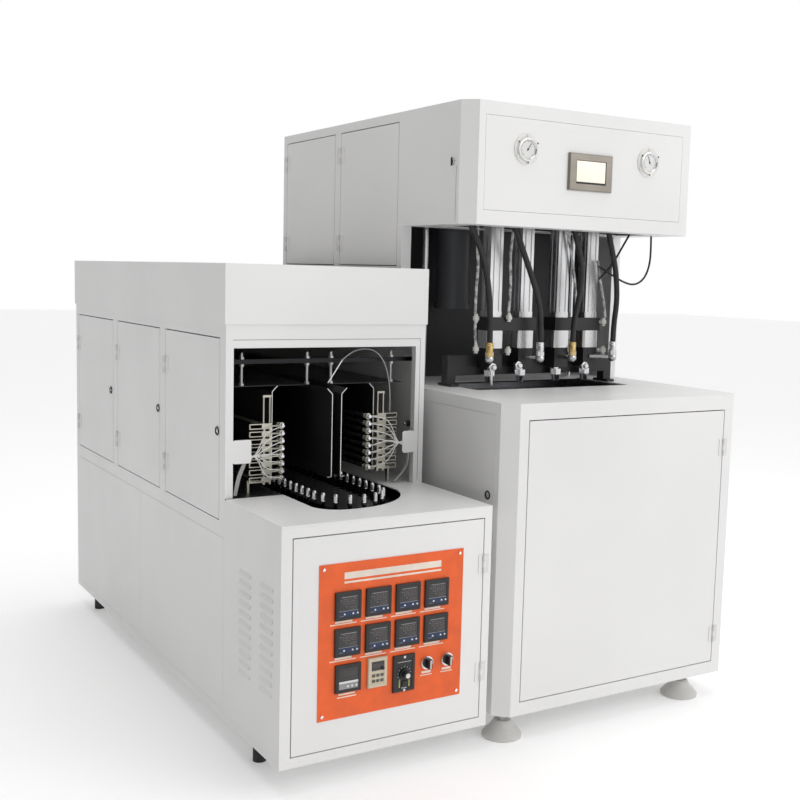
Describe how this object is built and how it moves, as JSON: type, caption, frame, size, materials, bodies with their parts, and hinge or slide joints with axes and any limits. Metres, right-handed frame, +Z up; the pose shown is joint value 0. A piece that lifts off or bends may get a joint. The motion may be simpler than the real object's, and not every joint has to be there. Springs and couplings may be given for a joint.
{
  "type": "blow moulding machine",
  "caption": "Semi-automatic stretch blow moulding machine: a tunnel preform heater with control cabinet beside a blowing press with head, cylinders and mould clamp.",
  "frame": {"origin": "middle of the whole machine's footprint, on the floor", "axes": "+X to the machine's right seen from the operator, +Y to its back, +Z up"},
  "size_m": [1.544, 1.9224, 1.78],
  "materials": {
    "white_paint": "satin powder coat",
    "hinge_steel": "matt, painted over",
    "foot_rubber": "matt",
    "foot_grey": "satin",
    "orange_plate": "matt printed film",
    "meter_plastic": "fine texture",
    "keypad_plastic": "fine texture",
    "black_plastic": "satin",
    "ring_white": "gloss",
    "clip_steel": "zinc plated",
    "lamp_quartz": "quartz tube with ceramic ends",
    "oven_black": "heat-proof black",
    "dark_steel": "black",
    "holder_chrome": "polished",
    "motor_grey": "satin grey",
    "aluminium": "anodised",
    "screen": "bronze-grey frame",
    "gauge": "white flange, metal rim",
    "machine_steel": "machined",
    "hose_rubber": "matt",
    "brass": "turned"
  },
  "bodies": {
    "frame": {"heater_body": "white_paint", "heater_hood": "white_paint", "heater_table": "white_paint", "heater_feet": "foot_rubber", "lower_panels": "white_paint", "cabinet_shell": "white_paint", "lamp_racks": "clip_steel", "oven_lamps": "lamp_quartz", "reflectors": "oven_black", "oven_top_sheets": "oven_black", "oven_hangers": "dark_steel", "chain_track": "oven_black", "chain_links": "dark_steel", "preform_holders": "holder_chrome", "chain_motor": "motor_grey", "press_base": "white_paint", "deck": "white_paint", "press_feet": "foot_grey", "press_side_panel": "white_paint", "upper_housing": "white_paint", "hinge_frames": "hinge_steel", "head_panel": "white_paint", "touch_screen": "screen", "pressure_gauges": "gauge", "cylinder_beam": "machine_steel", "stretch_cylinders": "aluminium", "clamp_bars": "dark_steel", "blow_cylinders": "aluminium", "nozzle_carrier": "dark_steel", "guide_rods": "holder_chrome", "lift_cylinder": "motor_grey", "inner_liner": "dark_steel", "air_hoses": "hose_rubber", "hose_fittings": "brass", "clamp_frame": "machine_steel", "tie_bars": "holder_chrome", "mould_front": "aluminium", "clamp_cylinder": "motor_grey"},
    "heater_door_1": {"heater_door_1": "white_paint"},
    "heater_door_2": {"heater_door_2": "white_paint"},
    "heater_door_3": {"heater_door_3": "white_paint"},
    "control_door": {"control_door": "white_paint", "control_plate": "orange_plate", "panel_meters": "meter_plastic", "temperature_controller": "meter_plastic", "drive_keypad": "keypad_plastic", "speed_controller": "black_plastic", "selector_rings": "ring_white"},
    "speed_knob": {"speed_knob": "black_plastic"},
    "selector_left": {"selector_left": "black_plastic"},
    "selector_right": {"selector_right": "black_plastic"},
    "front_sprocket": {"front_sprocket": "dark_steel"},
    "rear_sprocket": {"rear_sprocket": "dark_steel"},
    "press_front_door": {"press_front_door": "white_paint"},
    "column_door_1": {"column_door_1": "white_paint"},
    "column_door_2": {"column_door_2": "white_paint"},
    "stretch_rods": {"stretch_rods": "holder_chrome"},
    "blow_nozzles": {"blow_nozzles": "holder_chrome"},
    "mould_carriage": {"mould_rear": "aluminium", "rear_platen": "machine_steel"}
  },
  "joints": [
    {"name": "heater_door_1_hinge", "type": "hinge", "parent": "frame", "child": "heater_door_1", "pos_m": [-0.768, -0.0763, 0.861], "axis": [0, 0, -1], "range_deg": [0, 110]},
    {"name": "heater_door_2_hinge", "type": "hinge", "parent": "frame", "child": "heater_door_2", "pos_m": [-0.768, 0.4217, 0.861], "axis": [0, 0, -1], "range_deg": [0, 110]},
    {"name": "heater_door_3_hinge", "type": "hinge", "parent": "frame", "child": "heater_door_3", "pos_m": [-0.768, 0.9197, 0.861], "axis": [0, 0, -1], "range_deg": [0, 110]},
    {"name": "control_door_hinge", "type": "hinge", "parent": "frame", "child": "control_door", "pos_m": [-0.1765, -0.9378, 0.372], "axis": [0, 0, 1], "range_deg": [0, 110]},
    {"name": "press_front_door_hinge", "type": "hinge", "parent": "frame", "child": "press_front_door", "pos_m": [0.6985, -0.9378, 0.508], "axis": [0, 0, 1], "range_deg": [0, 110]},
    {"name": "column_door_1_hinge", "type": "hinge", "parent": "frame", "child": "column_door_1", "pos_m": [-0.112, 0.0827, 1.532], "axis": [0, 0, -1], "range_deg": [0, 100]},
    {"name": "column_door_2_hinge", "type": "hinge", "parent": "frame", "child": "column_door_2", "pos_m": [-0.112, 0.5157, 1.532], "axis": [0, 0, -1], "range_deg": [0, 100]},
    {"name": "speed_knob_turn", "type": "hinge", "parent": "control_door", "child": "speed_knob", "pos_m": [-0.419, -0.9418, 0.262], "axis": [0, 1, 0], "range_deg": [0, 270]},
    {"name": "selector_left_turn", "type": "hinge", "parent": "control_door", "child": "selector_left", "pos_m": [-0.349, -0.9418, 0.28], "axis": [0, 1, 0], "range_deg": [0, 90]},
    {"name": "selector_right_turn", "type": "hinge", "parent": "control_door", "child": "selector_right", "pos_m": [-0.287, -0.9418, 0.28], "axis": [0, 1, 0], "range_deg": [0, 90]},
    {"name": "rear_sprocket_spin", "type": "hinge", "parent": "frame", "child": "rear_sprocket", "pos_m": [-0.468, 0.6728, 0.643], "axis": [0, 0, 1], "continuous": true, "deforming": ["chain_links", "preform_holders"]},
    {"name": "front_sprocket_spin", "type": "hinge", "parent": "frame", "child": "front_sprocket", "pos_m": [-0.468, -0.6988, 0.643], "axis": [0, 0, 1], "continuous": true},
    {"name": "stretch_rods_slide", "type": "slide", "parent": "frame", "child": "stretch_rods", "axis": [0, 0, -1], "range_m": [0, 0.25]},
    {"name": "blow_nozzles_slide", "type": "slide", "parent": "frame", "child": "blow_nozzles", "axis": [0, 0, -1], "range_m": [0, 0.04]},
    {"name": "mould_carriage_slide", "type": "slide", "parent": "frame", "child": "mould_carriage", "axis": [0, -1, 0], "range_m": [0, 0.1597]}
  ],
  "couplings": [
    {"joint": "front_sprocket_spin", "follows": "rear_sprocket_spin", "ratio": 1}
  ]
}
